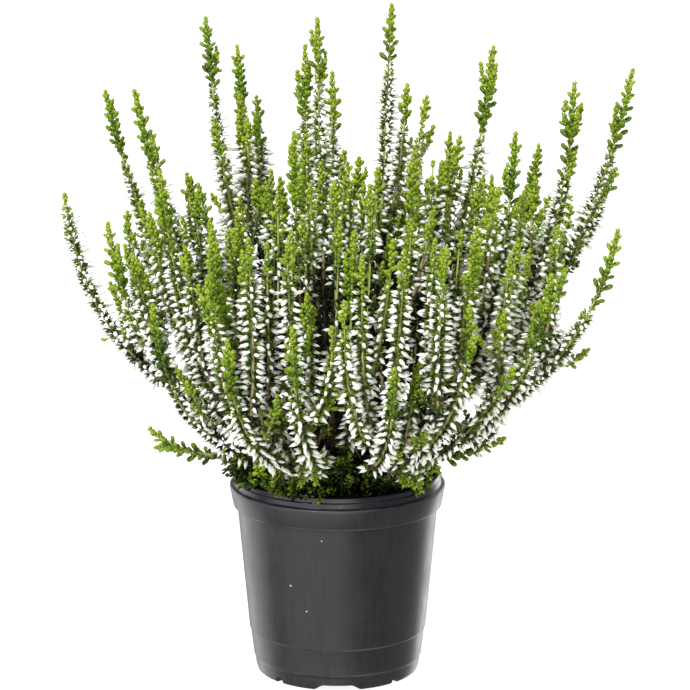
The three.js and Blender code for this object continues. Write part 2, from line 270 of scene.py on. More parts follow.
# the nursery pot, in millimetres, from the same sizes as the solid
pot = {
    "sides": 168,
    "wall": 1.7,
    "foot": 41.5,
    "pad": 12,
    "ringInside": 36,
    "recess": 3,
    "floor": 5.2,
    "heel": (43.1, 8.2),
    "step": (44.8, 22.1),
    "stepSize": 0.5,
    "shoulder": 51.2,
    "band": (53.2, 87.4),
    "lip": (55, 98.1),
    "lipEdge": 1.2,
    "collar": (52.9, 103.8),
    "tier": 101,
    "tierStep": 0.6,
    "wideNotch": {"count": 4, "turn": 0, "foot": 26, "top": 14, "high": 2.9},
    "drainNotch": {"count": 4, "turn": 45, "foot": 5, "top": 4, "high": 3},
    "notchDeep": 14,
    "flankSteps": 8,
    "sharp": 32,
    "ribs": {"turns": (4.65, 13.3), "repeat": 8, "width": 0.5, "deep": 1, "stand": 0.25, "round": 0.12,
             "over": 0.1, "under": 0.5},
    # heights, half widths and strengths of pale lines along the ledges: partly rubbed wear, partly painted
    # highlight
    "rubbed": ((8.2, 0.7, 0.16), (22.4, 0.8, 0.2), (87.6, 0.7, 0.22), (97.9, 0.8, 0.12)),
}


def potPlastic():
    sheet = Finish("pot plastic", {"Specular IOR Level": 0.3})
    place = sheet.place
    lines = sheet.noise(sheet.stretched(place, (620, 620, 12)), 1, 3)
    clouds = sheet.noise(place, 70, 3)
    grain = sheet.noise(place, 2600, 2)
    cells = sheet.node("ShaderNodeTexVoronoi", {"Vector": place, "Scale": 130, "Randomness": 1})
    picked = sheet.part(cells["Color"], "X") > 0.93
    specks = (cells < 0.055) * picked
    worn = sheet.ranged(lines * 0.6 + clouds * 0.5, 0.42, 0.72)
    height = sheet.part(place, "Z")
    lineBreakup = sheet.noise(sheet.stretched(place, (60, 60, 20)), 1, 3)
    # pale lines at the heel, step, ledge and lip: partly rubbed wear, partly a painted highlight where these
    # edges catch the light
    rubbed = 0
    for line, half, strength in pot["rubbed"]:
        away = sheet.maths("ABSOLUTE", height - line * mm, 0.0)
        rubbed = rubbed + sheet.ranged(away, 0, half * mm, strength, 0)
    rubbed = rubbed * sheet.ranged(lineBreakup, 0.35, 0.6)
    # above the lip the collar is painted near black and a little bluish: painted shade from the foliage over
    # it
    above = sheet.ranged(height, (pot["lip"][1] + 0.1) * mm, (pot["lip"][1] + 0.9) * mm)
    dark = (0.005, 0.005, 0.006, 1)
    pale = (0.01, 0.01, 0.0115, 1)
    # near-black bluish painted shade for the collar
    collar = (0.0035, 0.0035, 0.006, 1)
    scuffAndHighlightColour = (0.2, 0.2, 0.21, 1)
    dust = (0.42, 0.42, 0.4, 1)
    colour = sheet.blended(above, sheet.blended(worn, dark, pale), collar)
    colour = sheet.blended(rubbed, colour, scuffAndHighlightColour)
    sheet.feed("Base Color", sheet.blended(specks, colour, dust))
    sheet.feed("Roughness", 0.3 + worn * 0.1 + specks * 0.4 - above * 0.12)
    sheet.roughen(grain + lines * 0.5, 0.12, 0.3)
    return sheet.material


def rounded(corners, steps=3):
    # an outline whose corners are cut by arcs: each corner is (radius, height, rounding)
    outline = []
    for i, (x, z, size) in enumerate(corners):
        here = np.array([x, z], float)
        if not size or i in (0, len(corners) - 1):
            outline.append(here)
            continue
        before = np.array(corners[i - 1][:2], float) - here
        after = np.array(corners[i + 1][:2], float) - here
        reach = min(size, np.linalg.norm(before) * 0.49, np.linalg.norm(after) * 0.49)
        start = here + before / np.linalg.norm(before) * reach
        end = here + after / np.linalg.norm(after) * reach
        for k in range(steps + 1):
            t = k / steps
            outline.append((1 - t) ** 2 * start + 2 * (1 - t) * t * here + t * t * end)
    return outline


def turned(name, outline, sides):
    # a closed turned shape, from an outline that starts and ends on the axis
    draft = bmesh.new()
    rings = []
    for x, z in outline:
        if x < 1e-6:
            rings.append([draft.verts.new((0, 0, z * mm))])
            continue
        ring = []
        for k in range(sides):
            angle = fullTurn * k / sides
            ring.append(draft.verts.new((x * mm * math.cos(angle), x * mm * math.sin(angle), z * mm)))
        rings.append(ring)
    for low, high in zip(rings, rings[1:]):
        for k in range(sides):
            around = ((low, k), (low, k + 1), (high, k + 1), (high, k))
            corners = [ring[turn % len(ring)] for ring, turn in around]
            draft.faces.new(list(dict.fromkeys(corners)))
    bmesh.ops.recalc_face_normals(draft, faces=draft.faces)
    return meshOf(name, draft)


def potOutline():
    wall = pot["wall"]
    step = pot["stepSize"]
    heelRadius, heelHeight = pot["heel"]
    stepRadius, stepHeight = pot["step"]
    bandRadius, bandHeight = pot["band"]
    lipRadius, lipHeight = pot["lip"]
    collarRadius, collarHeight = pot["collar"]
    tierRadius = collarRadius - pot["tierStep"]
    floorRadius = pot["foot"] + (heelRadius - pot["foot"]) * pot["floor"] / heelHeight
    return rounded([
        (0, 0, 0),
        (pot["pad"], 0, 0.8),
        (pot["pad"], pot["recess"], 0.8),
        (pot["ringInside"], pot["recess"], 0.8),
        (pot["ringInside"], 0, 0.6),
        (pot["foot"], 0, 1.6),
        (heelRadius - 0.5, heelHeight - 1.4, 0.7),
        (heelRadius, heelHeight, 0.35),
        (stepRadius, stepHeight, 0.15),
        (stepRadius + step, stepHeight + step, 0.3),
        (pot["shoulder"], bandHeight - step, 0.35),
        (bandRadius, bandHeight, 0.5),
        (lipRadius, lipHeight - pot["lipEdge"], 1.4),
        (lipRadius, lipHeight, 0.7),
        (collarRadius + 0.1, lipHeight + step, 0.3),
        (collarRadius, pot["tier"], 0.35),
        (tierRadius, pot["tier"] + step, 0.2),
        (tierRadius, collarHeight, 0.6),
        (tierRadius - wall, collarHeight, 0.6),
        (tierRadius - wall, lipHeight - pot["lipEdge"], 2),
        (pot["shoulder"] - wall, bandHeight - step, 2),
        (stepRadius - wall, stepHeight, 1),
        (heelRadius - wall, heelHeight, 1),
        (floorRadius - wall, pot["floor"], 1.2),
        (0, pot["floor"], 0),
    ])


def notchCutter(notch, turn):
    # a bar under the foot whose section is the notch, with its flanks in an easy curve
    low, high = notch["foot"] / 2, notch["top"] / 2
    outline = [(-low, -1)]
    for k in range(pot["flankSteps"] + 1):
        share = k / pot["flankSteps"]
        outline.append((-low + (low - high) * share, notch["high"] * share * share * (3 - 2 * share)))
    outline += [(-x, z) for x, z in reversed(outline)]
    draft = bmesh.new()
    rings = []
    for y in (-pot["foot"] - pot["notchDeep"] / 2, -pot["foot"] + pot["notchDeep"] / 2):
        rings.append([draft.verts.new((x * mm, y * mm, z * mm)) for x, z in outline])
        draft.faces.new(rings[-1])
    front, back = rings
    for k in range(len(outline)):
        following = (k + 1) % len(outline)
        draft.faces.new([front[k], front[following], back[following], back[k]])
    turnDraft(draft, turn)
    bmesh.ops.recalc_face_normals(draft, faces=draft.faces)
    return meshOf("notch", draft)


def turnDraft(draft, angle):
    bmesh.ops.rotate(draft, verts=draft.verts, matrix=Matrix.Rotation(angle, 3, "Z"))


def evaluated(piece):
    graph = bpy.context.evaluated_depsgraph_get()
    return bpy.data.meshes.new_from_object(piece.evaluated_get(graph), depsgraph=graph)


def makePot():
    body = newPiece("pot body", turned("pot body", potOutline(), pot["sides"]))
    cutters = []
    for notch in (pot["wideNotch"], pot["drainNotch"]):
        for k in range(notch["count"]):
            turn = math.radians(notch["turn"]) + fullTurn * k / notch["count"]
            cutters.append(notchCutter(notch, turn))
    bars = newPiece("notches", joined("notches", cutters))
    cut = body.modifiers.new("notches", "BOOLEAN")
    cut.operation = "DIFFERENCE"
    cut.solver = "MANIFOLD"
    cut.object = bars
    shell = evaluated(body)
    for used in (body, bars):
        bpy.data.objects.remove(used)
    mesh = joined("nurseryPot", [shell] + [collarRib(turn) for turn in ribTurns()])
    smoothOver(mesh, pot["sharp"])
    piece = newPiece("nurseryPot", mesh, potPlastic())
    settle(piece, "pot", ["pot"])
    makeCards(piece)


def ribTurns():
    ribs = pot["ribs"]
    for k in range(ribs["repeat"]):
        for j, first in enumerate(ribs["turns"]):
            if j == 0 or k % 2 == 0:
                yield math.radians(first) + fullTurn * k / ribs["repeat"]


def collarRib(turn):
    ribs = pot["ribs"]
    draft = bmesh.new()
    bmesh.ops.create_cube(draft, size=1)
    high = pot["tier"] + ribs["over"] - pot["lip"][1] + ribs["under"]
    bmesh.ops.scale(draft, verts=draft.verts, vec=(ribs["width"] * mm, ribs["deep"] * mm, high * mm))
    out = pot["collar"][0] + ribs["stand"] - ribs["deep"] / 2
    middle = pot["tier"] + ribs["over"] - high / 2
    bmesh.ops.translate(draft, verts=draft.verts, vec=(0, -out * mm, middle * mm))
    bmesh.ops.bevel(draft, geom=draft.edges[:], offset=ribs["round"] * mm, segments=1, affect="EDGES")
    turnDraft(draft, turn)
    return meshOf("rib", draft)


makePot()


# how shoots grow, by the same rule and the same draws as the solids
burl = {"centre": 111.0, "radius": 12.0, "gap": 0.3, "stemSpacing": 4.6, "passes": 60,
        "skirt": ((14, 100.3), (11.4, 101.6), (9.5, 103.4)), "rings": 14, "sides": 56}
shootRule = {"tallLift": 0.24, "lowLift": 0.1, "pathSteps": 9}
sideRule = {"fork": (0.4, 0.62), "tip": (0.74, 0.93), "reach": (13, 24), "heelShare": 0.45, "heelSwing": 0.85,
            "pathSteps": 6, "tries": 16, "clear": 8, "room": 100, "roomShare": 0.94, "rises": (60, 150)}
tallShoots = [  # tip X, Y and Z, and how far out the bend lies
    (-136, -5, 249, 0.92), (-119, 45, 294, 0.72), (-99, -30, 305, 0.72), (-112, -40, 241, 0.9),
    (-66, 20, 335, 0.8), (-52, 70, 314, 0.82), (-17, 85, 313, 0.8), (-10, 25, 334, 0.8),
    (-3, 115, 294, 0.85), (27, 10, 343, 0.85), (59, 75, 268, 0.8), (79, 30, 319, 0.76),
    (106, 85, 259, 0.85), (117, -10, 306, 0.95), (150, 35, 306, 0.84), (137, -40, 237, 0.92),
]
lowShoots = [
    (-77, 75, 245, 0.88), (35, 100, 262, 0.85), (-85, -60, 270, 0.88), (-21, -45, 288, 0.85),
    (38, -40, 280, 0.85), (87, -35, 285, 0.9), (-52, -95, 195, 0.95), (-21, -105, 203, 0.95),
    (8, -75, 244, 0.92), (27, -110, 184, 0.95), (63, -90, 211, 0.95), (67, -70, 245, 0.9),
    (-60, -75, 245, 0.92), (-89, -65, 205, 0.93), (103, -65, 220, 0.94), (-94, -20, 131, 0.8),
    (84, -12, 124, 0.8),
]
farShoots = {"count": 8, "from": 35, "to": 145, "reach": 116, "reachStep": 14, "high": 214, "highStep": 26,
             "bend": 0.9}
goldenAngle = math.radians(137.5)
goldenShare = 0.618


def between(low, high, share):
    return low + (high - low) * share


def seededDraws(seed):
    state = (seed * 7919 + 12345) % 2 ** 32
    while True:
        state = (state * 1664525 + 1013904223) % 2 ** 32
        yield state / 2 ** 32


def unitOf(vector):
    return vector / max(np.linalg.norm(vector), 1e-12)


def pointOn(curve, share):
    t = np.asarray(share, float)[..., None]
    return (1 - t) ** 2 * curve[0] + 2 * (1 - t) * t * curve[1] + t * t * curve[2]


def sideways(angle, rise=0):
    return np.array([math.cos(angle), math.sin(angle), rise])


def upwards(high):
    return np.array([0, 0, high])


def pathOf(curve, steps):
    return pointOn(curve, np.arange(steps + 1) / steps)


def distanceTo(paths, points):
    starts = np.concatenate([path[:-1] for path in paths])
    runs = np.concatenate([path[1:] - path[:-1] for path in paths])
    away = points[:, None, :] - starts[None]
    share = np.clip((away * runs).sum(-1) / (runs * runs).sum(-1), 0, 1)
    return np.linalg.norm(away - share[..., None] * runs, axis=-1).min(axis=1)


def tipRows():
    rows = tallShoots + lowShoots
    for i in range(farShoots["count"]):
        angle = math.radians(between(farShoots["from"], farShoots["to"], i / (farShoots["count"] - 1)))
        reach = farShoots["reach"] + farShoots["reachStep"] * (i % 2)
        high = farShoots["high"] + farShoots["highStep"] * ((i * 2) % 3 - 1)
        rows.append((reach * math.cos(angle), reach * math.sin(angle), high, farShoots["bend"]))
    return rows


def spreadApart(ways):
    # neighbours on the burl push each other aside until their stems fit
    for _ in range(burl["passes"]):
        for i in range(len(ways)):
            for j in range(i + 1, len(ways)):
                apart = ways[j] - ways[i]
                size = np.linalg.norm(apart)
                lack = burl["stemSpacing"] - size * burl["radius"]
                if lack > 0:
                    push = apart / (size or 1) * (lack / burl["radius"] / 2)
                    ways[i] = unitOf(ways[i] - push)
                    ways[j] = unitOf(ways[j] + push)


def mainCurves():
    centre = np.array([0, 0, burl["centre"]])
    heels, tips = [], []
    for i, (x, y, z, bend) in enumerate(tipRows()):
        lift = shootRule["tallLift" if i < len(tallShoots) else "lowLift"]
        tips.append(np.array([x, y, z], float))
        heels.append(np.array([x * bend, y * bend, between(burl["centre"], z, lift)]))
    ways = [unitOf(heel - centre) for heel in heels]
    spreadApart(ways)
    foot = burl["radius"] + burl["gap"]
    return [np.array([centre + way * foot, heel, tip]) for way, heel, tip in zip(ways, heels, tips)]


def sideCurves(curve, seed, others, rule, count):
    draws = seededDraws(seed)
    grown = []
    room = max(rule["room"], rule["roomShare"] * math.hypot(*curve[2][:2]))
    angle = next(draws) * math.pi * 2
    for _ in range(rule["tries"]):
        if len(grown) >= count:
            break
        fork = between(*rule["fork"], next(draws))
        top = between(*rule["tip"], next(draws))
        reach = between(*rule["reach"], next(draws))
        angle += goldenAngle
        swing = sideways(angle) * reach
        heel = pointOn(curve, between(fork, top, rule["heelShare"])) + swing * rule["heelSwing"]
        side = np.array([pointOn(curve, fork), heel, pointOn(curve, top) + swing])
        inside = math.hypot(*side[2][:2]) < room
        if inside and distanceTo(others, pathOf(side, rule["pathSteps"])).min() > rule["clear"]:
            grown.append(side)
    return grown


def growShoots():
    shoots = [{"curve": curve, "paths": [pathOf(curve, shootRule["pathSteps"])]} for curve in mainCurves()]
    for i, shoot in enumerate(shoots):
        others = [path for other in shoots if other is not shoot for path in other["paths"]]
        rise = shoot["curve"][2][2] - burl["centre"]
        count = sum(rise > limit for limit in sideRule["rises"])
        shoot["sides"] = sideCurves(shoot["curve"], i + 1, others, sideRule, count)
        shoot["paths"] += [pathOf(side, sideRule["pathSteps"]) for side in shoot["sides"]]
    return shoots


# the rule carried on to finer shoots, to risers that stand up from the main shoots, to green twigs
# and sprigs, and to what leans out over the rim
fineRule = dict(sideRule, fork=(0.3, 0.6), tip=(0.5, 0.88), reach=(8, 15), tries=12, clear=6.5, seed=500,
                mainCount=2, sideCount=1)
riserRule = {"fork": (0.12, 0.62), "reach": (6, 24), "rise": (52, 150), "heel": (0.9, 0.16), "tries": 32,
             "outward": 0.12, "count": 4, "clear": 7.4, "roof": (298, 0.46), "under": 30, "pathSteps": 7,
             "seed": 700, "roomFoot": 62, "roomSlope": 0.8, "roomMost": 117}
sprigRule = {"gap": 4.4, "gapSpread": (0.6, 1.4), "length": (8, 18), "lean": 0.95, "rise": 0.1, "lift": 0.12,
             "seed": 900, "from": 6, "ahead": 2}
twigRule = {"count": 3, "foot": (12, 36), "length": (0.5, 0.82), "stand": (3.2, 5.6), "fullSize": 14,
            "least": 20, "heel": 0.35, "seed": 2100}
rimRule = {"footHigh": 99.4, "heel": (0.5, 0.5), "bendSpread": (0.7, 0.6)}
rimRules = [  # shade is added to the tone of the leaves
    dict(rimRule, count=90, turn=(0, 360), foot=(13, 42), step=(8, 20), high=(106, 128), bend=6, shade=0,
         seed=1300),
    dict(rimRule, count=56, turn=(182, 262), foot=(34, 47), step=(9, 16), high=(102, 110), bend=5, shade=0.11,
         seed=1500),
    dict(rimRule, count=10, turn=(312, 338), foot=(38, 47), step=(7, 12), high=(101, 109), bend=6, shade=0.08,
         seed=1700),
    dict(rimRule, count=4, turn=(270, 308), foot=(32, 40), step=(1, 5), high=(112, 124), bend=4, shade=-0.24,
         seed=2200),
]
apronRule = {"foot": (16, 28), "footHigh": 108, "bend": (15, 24), "heel": (0.45, 0.55)}
apronRules = [
    dict(apronRule, count=15, turn=(188, 262), reach=(52, 62), high=(104, 117), seed=1800),
    dict(apronRule, count=7, turn=(306, 338), reach=(50, 60), high=(101, 112), seed=1900),
    dict(apronRule, count=18, turn=(-20, 180), reach=(48, 60), high=(104, 118), seed=2000),
]
leafyKind = {"white": (0, 0), "twigs": 0, "allGreen": 1, "sway": 1.2}
kinds = {
    # in millimetres the radii at foot, middle and tip, the green tip, the buds below it and the sway, and as
    # shares the shoots with twigs or with no buds, and how far up a stem is dark bark
    "main": {"steps": 40, "thick": (1.5, 1.0, 0.5), "green": (24, 42), "white": (80, 125), "twigs": 0.65,
             "woody": 0.42, "allGreen": 0, "sway": 3.2},
    "side": {"steps": 22, "thick": (0.95, 0.85, 0.45), "green": (11, 22), "white": (45, 75), "twigs": 0.18,
             "woody": 0.2, "allGreen": 0, "sway": 2.2},
    "fine": {"steps": 16, "thick": (0.85, 0.75, 0.42), "green": (7, 13), "white": (30, 55), "twigs": 0.05,
             "woody": 0.15, "allGreen": 0.03, "sway": 1.2},
    "riser": {"steps": 18, "thick": (0.95, 0.8, 0.44), "green": (7, 15), "white": (60, 105), "twigs": 0.08,
              "woody": 0.2, "allGreen": 0.02, "sway": 1.2},
    "apron": {"steps": 14, "thick": (0.8, 0.7, 0.4), "green": (1, 5), "white": (40, 60), "twigs": 0,
              "woody": 0.2, "allGreen": 0.15, "sway": 1.2},
    "twig": dict(leafyKind, steps=8, thick=(0.45, 0.4, 0.3), green=(60, 70)),
    "sprig": dict(leafyKind, steps=6, thick=(0.38, 0.34, 0.26), green=(30, 40)),
    "rim": dict(leafyKind, steps=10, thick=(0.5, 0.42, 0.3), green=(60, 70)),
}
boughFoot = 1.75  # radius at the foot of a tall shoot
tipRoom = 2.4  # the last leaves reach this far past their stem
crown = {  # how far out it reaches at some heights, and over which share of that, or height, things come in
    "height": (105, 130, 160, 200, 240, 300), "reach": (38, 58, 85, 105, 118, 125),
    "leaves": ((0.42, 0.7), (185, 230)), "buds": ((0.54, 0.8), (200, 240)),
}
flowering = ("main", "side", "fine", "riser", "apron")
flowerTipped = (0,)  # main shoots whose flowers reach their tip
highKinds = ("main", "side", "fine", "twig")  # stems that go into the pieces named High
toneSpread = 0.2


def anyWay(draws):
    return np.array([next(draws) - 0.5, next(draws) - 0.5, next(draws) - 0.5])


def wavering(path, draws, size):
    # a slow sway, so that no stem is a perfect curve
    share = np.linspace(0, 1, len(path))[:, None]
    sway = np.zeros_like(path)
    for waves in (1, 2, 3):
        sway += anyWay(draws) * np.sin(share * math.pi * waves) / waves
    return path + sway * size


def newStem(curve, kind, seed, foot=None):
    draws = seededDraws(seed)
    rule = kinds[kind]
    whole = np.linalg.norm(np.diff(pathOf(curve, rule["steps"]), axis=0), axis=1).sum()
    points = pointOn(curve, np.linspace(0, 1 - tipRoom / whole, rule["steps"] + 1))
    points = wavering(points, draws, rule["sway"])
    lengths = np.linalg.norm(np.diff(points, axis=0), axis=1)
    fromFoot = np.concatenate([[0], np.cumsum(lengths)])
    low, middle, top = rule["thick"]
    share = fromFoot / fromFoot[-1]
    thick = np.interp(share, (0, 0.5, 1), (foot or low, middle, top))
    green = between(*rule["green"], next(draws))
    if next(draws) < rule["allGreen"]:
        green = 2 * fromFoot[-1]
    return {"points": points, "kind": kind, "thick": thick, "fromTip": fromFoot[-1] - fromFoot,
            "fromFoot": fromFoot, "green": green, "white": between(*rule["white"], next(draws)),
            "shift": (next(draws) - 0.5) * toneSpread}


def riserCurves(curve, seed, others):
    # shoots that leave a main shoot sideways and then stand up
    draws = seededDraws(seed)
    rule = riserRule
    out, lift = rule["heel"]
    grown = []
    angle = next(draws) * fullTurn
    for _ in range(rule["tries"]):
        if len(grown) >= rule["count"]:
            break
        root = pointOn(curve, between(*rule["fork"], next(draws)))
        reach = between(*rule["reach"], next(draws))
        rise = between(*rule["rise"], next(draws))
        under = rule["under"] * next(draws)
        angle += goldenAngle
        swing = sideways(angle) * reach
        roof, fall = rule["roof"]
        outward = root * (rule["outward"], rule["outward"], 0) + swing
        top = roof - fall * math.hypot(*(root + outward)[:2]) - under
        up = upwards(min(rise, top - root[2]))
        riser = np.array([root, root + swing * out + up * lift, root + outward + up])
        x, y, z = riser[2]
        room = min(rule["roomFoot"] + rule["roomSlope"] * (z - burl["centre"]), rule["roomMost"])
        path = pathOf(riser, rule["pathSteps"])[2:]
        if math.hypot(x, y) < room and distanceTo(others + grown, path).min() > rule["clear"]:
            grown.append(pathOf(riser, rule["pathSteps"]))
            yield riser


def placeOn(stem, place):
    return np.array([np.interp(place, stem["fromFoot"], stem["points"][:, k]) for k in range(3)])


def twigsOn(stem, seed):
    # short green twigs that stand close round the tip of a shoot
    draws = seededDraws(seed)
    grown = []
    if next(draws) > kinds[stem["kind"]]["twigs"]:
        return grown
    angle = next(draws) * fullTurn
    for _ in range(1 + int(next(draws) * twigRule["count"])):
        foot = between(*twigRule["foot"], next(draws))
        size = foot * between(*twigRule["length"], next(draws))
        stand = between(*twigRule["stand"], next(draws)) * min(size / twigRule["fullSize"], 1)
        angle += goldenAngle
        place = stem["fromFoot"][-1] - foot
        if place < twigRule["least"]:
            continue
        root = placeOn(stem, place)
        ahead = unitOf(placeOn(stem, place + size) - root)
        beside = root + sideways(angle) * stand
        curve = np.array([root, beside + ahead * size * twigRule["heel"], beside + ahead * size])
        grown.append(newStem(curve, "twig", seed + len(grown) + 1))
    return grown


def sprigsOn(stem, seed):
    # short leafy twigs on the part of a stem below its flowers
    draws = seededDraws(seed)
    grown = []
    place = sprigRule["from"] + next(draws) * sprigRule["gap"]
    angle = next(draws) * fullTurn
    while stem["fromTip"][0] - place > stem["green"] + stem["white"]:
        root = placeOn(stem, place)
        ahead = unitOf(placeOn(stem, place + sprigRule["ahead"]) - root)
        angle += goldenAngle
        way = unitOf(ahead + sideways(angle, sprigRule["rise"]) * sprigRule["lean"])
        size = between(*sprigRule["length"], next(draws))
        tip = root + way * size + upwards(size * sprigRule["lift"])
        grown.append(newStem(np.array([root, root + way * size * 0.5, tip]), "sprig", seed + len(grown) + 1))
        place += sprigRule["gap"] * between(*sprigRule["gapSpread"], next(draws))
    return grown


def archedStem(kind, rule, k, turn, foot, tip, bend):
    # a stem that leans out: foot is how far out it roots, and tip is how far out and how high it ends
    side = sideways(math.radians(between(*rule["turn"], turn)))
    foot = side * foot + upwards(rule["footHigh"])
    tip = side * tip[0] + upwards(tip[1])
    low, high = rule["heel"]
    return newStem(np.array([foot, foot * low + tip * high + upwards(bend), tip]), kind, rule["seed"] + k)


def apronShoots():
    # low flowering shoots that arch out over the rim
    for rule in apronRules:
        draws = seededDraws(rule["seed"])
        for k in range(rule["count"]):
            turn = (k + next(draws)) / rule["count"]
            ranges = [rule[key] for key in ("foot", "reach", "high", "bend")]
            foot, reach, high, bend = [between(*ends, next(draws)) for ends in ranges]
            yield archedStem("apron", rule, k, turn, foot, (reach, high), bend)


def rimSprigs():
    # leafy sprigs that cover the peat and lean out over the rim
    for rule in rimRules:
        draws = seededDraws(rule["seed"])
        for k in range(rule["count"]):
            turn = (k + next(draws)) * goldenShare % 1
            foot = between(*rule["foot"], math.sqrt(next(draws)))
            reach = foot + between(*rule["step"], next(draws))
            high = between(*rule["high"], next(draws))
            least, spread = rule["bendSpread"]
            bend = rule["bend"] * (least + spread * next(draws))
            sprig = archedStem("rim", rule, k, turn, foot, (reach, high), bend)
            sprig["shift"] += rule["shade"]
            yield sprig


def pathsBeside(shoot, paths):
    own = {id(path) for path in shoot["paths"]}
    return [path for path in paths if id(path) not in own]


def growStems():
    shoots = growShoots()
    stems = []
    for i, shoot in enumerate(shoots):
        foot = boughFoot if i < len(tallShoots) else None
        stems.append(newStem(shoot["curve"], "main", i + 1, foot))
        if i in flowerTipped:
            stems[-1]["green"] = 2
        for j, side in enumerate(shoot["sides"]):
            stems.append(newStem(side, "side", 100 + 3 * i + j))
    allPaths = [path for shoot in shoots for path in shoot["paths"]]
    for i, shoot in enumerate(shoots):
        others = pathsBeside(shoot, allPaths)
        for k, riser in enumerate(riserCurves(shoot["curve"], riserRule["seed"] + i, others)):
            allPaths.append(pathOf(riser, riserRule["pathSteps"]))
            stems.append(newStem(riser, "riser", riserRule["seed"] + 7 * i + k))
    for i, shoot in enumerate(shoots):
        others = pathsBeside(shoot, allPaths)
        parents = [(shoot["curve"], fineRule["mainCount"])]
        parents += [(side, fineRule["sideCount"]) for side in shoot["sides"]]
        for j, (curve, count) in enumerate(parents):
            seed = fineRule["seed"] + 5 * i + j
            for k, fine in enumerate(sideCurves(curve, seed, others, fineRule, count)):
                others.append(pathOf(fine, fineRule["pathSteps"]))
                allPaths.append(others[-1])
                stems.append(newStem(fine, "fine", fineRule["seed"] + 20 * i + 4 * j + k))
    stems += apronShoots()
    sprigs = []
    for i, stem in enumerate(stems):
        sprigs += twigsOn(stem, twigRule["seed"] + 11 * i)
        sprigs += sprigsOn(stem, sprigRule["seed"] + 37 * i)
    for kind in kinds:
        print(kind, sum(stem["kind"] == kind for stem in stems + sprigs))
    return stems, sprigs + list(rimSprigs())


def eased(low, high, values):
    share = np.clip((values - low) / (high - low), 0, 1)
    return share * share * (3 - 2 * share)


def outerShare(points, grows="leaves"):
    # 1 at the outside of the crown and near its top, and 0 in its dark middle
    across, up = crown[grows]
    radius = np.linalg.norm(points[:, :2], axis=1)
    share = radius / np.interp(points[:, 2], crown["height"], crown["reach"])
    return np.maximum(eased(*across, share), eased(*up, points[:, 2]))


# where each thing along a stem comes in, in millimetres: (from, to), or a start and (rise, from, to)
habit = {
    # from the end of the green tip
    "tufts": (-5, 7), "bloom": (-3, 5), "ripe": (-3, 14), "apronRipe": (-3, 4),
    # over the lowest part of the buds
    "lastBuds": 16,
    # from the foot of the stem
    "bareFoot": (3, 12), "twigFoot": (-1, 2),
    # from its tip
    "bareTip": (1, 3), "clubSize": (0.72, (0.28, 0, 12), (0.18, 12, 34)),
    "tone": (0.03, (0.38, -8, 30), (0.12, 40, 110)), "leafyTone": (0.36, 0.02),
    # by how steep the stem is
    "steep": (0.3, 0.6),
    # by height above the table
    "lit": (165, 235), "hanging": (115, 170),
}


def stepped(start, *steps, values):
    # a value that goes up from its start by each step in turn
    total = start
    for rise, low, high in steps:
        total = total + rise * eased(low, high, values)
    return total


def leafRates(stem):
    # at each point of a stem: how much of each kind grows there, its size and its tone
    path, away = stem["points"], stem["fromTip"]
    green, white = stem["green"], stem["white"]
    apron = stem["kind"] == "apron"
    leafy = stem["kind"] in ("sprig", "rim")
    twiggy = leafy or stem["kind"] == "twig"

    def pastGreen(name):
        low, high = habit[name]
        return eased(green + low, green + high, away)

    runs = np.gradient(path, axis=0)
    steep = 1 if apron else eased(*habit["steep"], runs[:, 2] / np.linalg.norm(runs, axis=1))
    outer = outerShare(path)
    past = pastGreen("tufts")
    bloom = pastGreen("bloom") * (1 - eased(green + white - habit["lastBuds"], green + white, away))
    clear = eased(*habit["twigFoot" if twiggy else "bareFoot"], stem["fromFoot"])
    paler, darker = habit["leafyTone"]
    tone = paler + darker * away if leafy else stepped(*habit["tone"], values=away)
    tone = tone - 0.06 * eased(*habit["lit"], path[:, 2])  # the top of the crown is in full light
    return {
        "thick": stem["thick"] * mm,
        "fromTip": away * mm,
        # leaves deeper in the crown get darker tones, down to near black: partly the deeper green of older
        # leaves, mostly painted shade
        "tone": tone + 0.6 * (1 - outer) + stem["shift"],
        "hang": 0.08 + 0.3 * (1 - eased(*habit["hanging"], path[:, 2])),
        "even": np.ones_like(away),
        "clubRate": (1 - past) * clear * eased(*habit["bareTip"], away) * (not leafy),
        "clubSize": stepped(*habit["clubSize"], values=away) * (0.75 if twiggy else 1),
        "scaleRate": (1 - 0.88 * past) * clear * (0.3 if leafy else 1),
        "pairRate": clear * leafy,
        "budRate": bloom * clear * steep * outerShare(path, "buds") * (stem["kind"] in flowering),
        "budSize": between(0.5, 1, pastGreen("apronRipe" if apron else "ripe")),
        "tuftRate": past * clear * (1 - 0.45 * bloom * outer),
    }


def wireOf(name, stems):
    # the stems as a mesh of edges that carries what the growing trees read
    edges, layers = [], []
    first = 0
    for stem in stems:
        count = len(stem["points"])
        edges += [(first + k, first + k + 1) for k in range(count - 1)]
        layers.append(leafRates(stem))
        first += count
    mesh = bpy.data.meshes.new(name)
    places = np.concatenate([stem["points"] for stem in stems])
    mesh.from_pydata((places * mm).tolist(), edges, [])
    for key in layers[0]:
        layer = mesh.attributes.new(key, "FLOAT", "POINT")
        layer.data.foreach_set("value", np.concatenate([rates[key] for rates in layers]).astype(np.float32))
    return mesh


# the trees that clothe the stems
def newTree(name, asked):
    # a growing tree that asks for a mesh and for the values named, listed by their kind
    tree = bpy.data.node_groups.new(name, "GeometryNodeTree")
    tree.interface.new_socket("Geometry", in_out="INPUT", socket_type="NodeSocketGeometry")
    for kind, labels in asked.items():
        for label in labels:
            tree.interface.new_socket(label, in_out="INPUT", socket_type="NodeSocket" + kind)
    tree.interface.new_socket("Geometry", in_out="OUTPUT", socket_type="NodeSocketGeometry")
    sheet = NodeSheet(tree)
    return tree, sheet, sheet.node("NodeGroupInput")


def endTree(sheet, geometry, material):
    whole = sheet.node("GeometryNodeRealizeInstances", {0: geometry})
    smooth = sheet.node("GeometryNodeSetShadeSmooth", {"Geometry": whole})
    finished = sheet.node("GeometryNodeSetMaterial", {"Geometry": smooth, "Material": material})
    sheet.node("NodeGroupOutput", {0: finished})


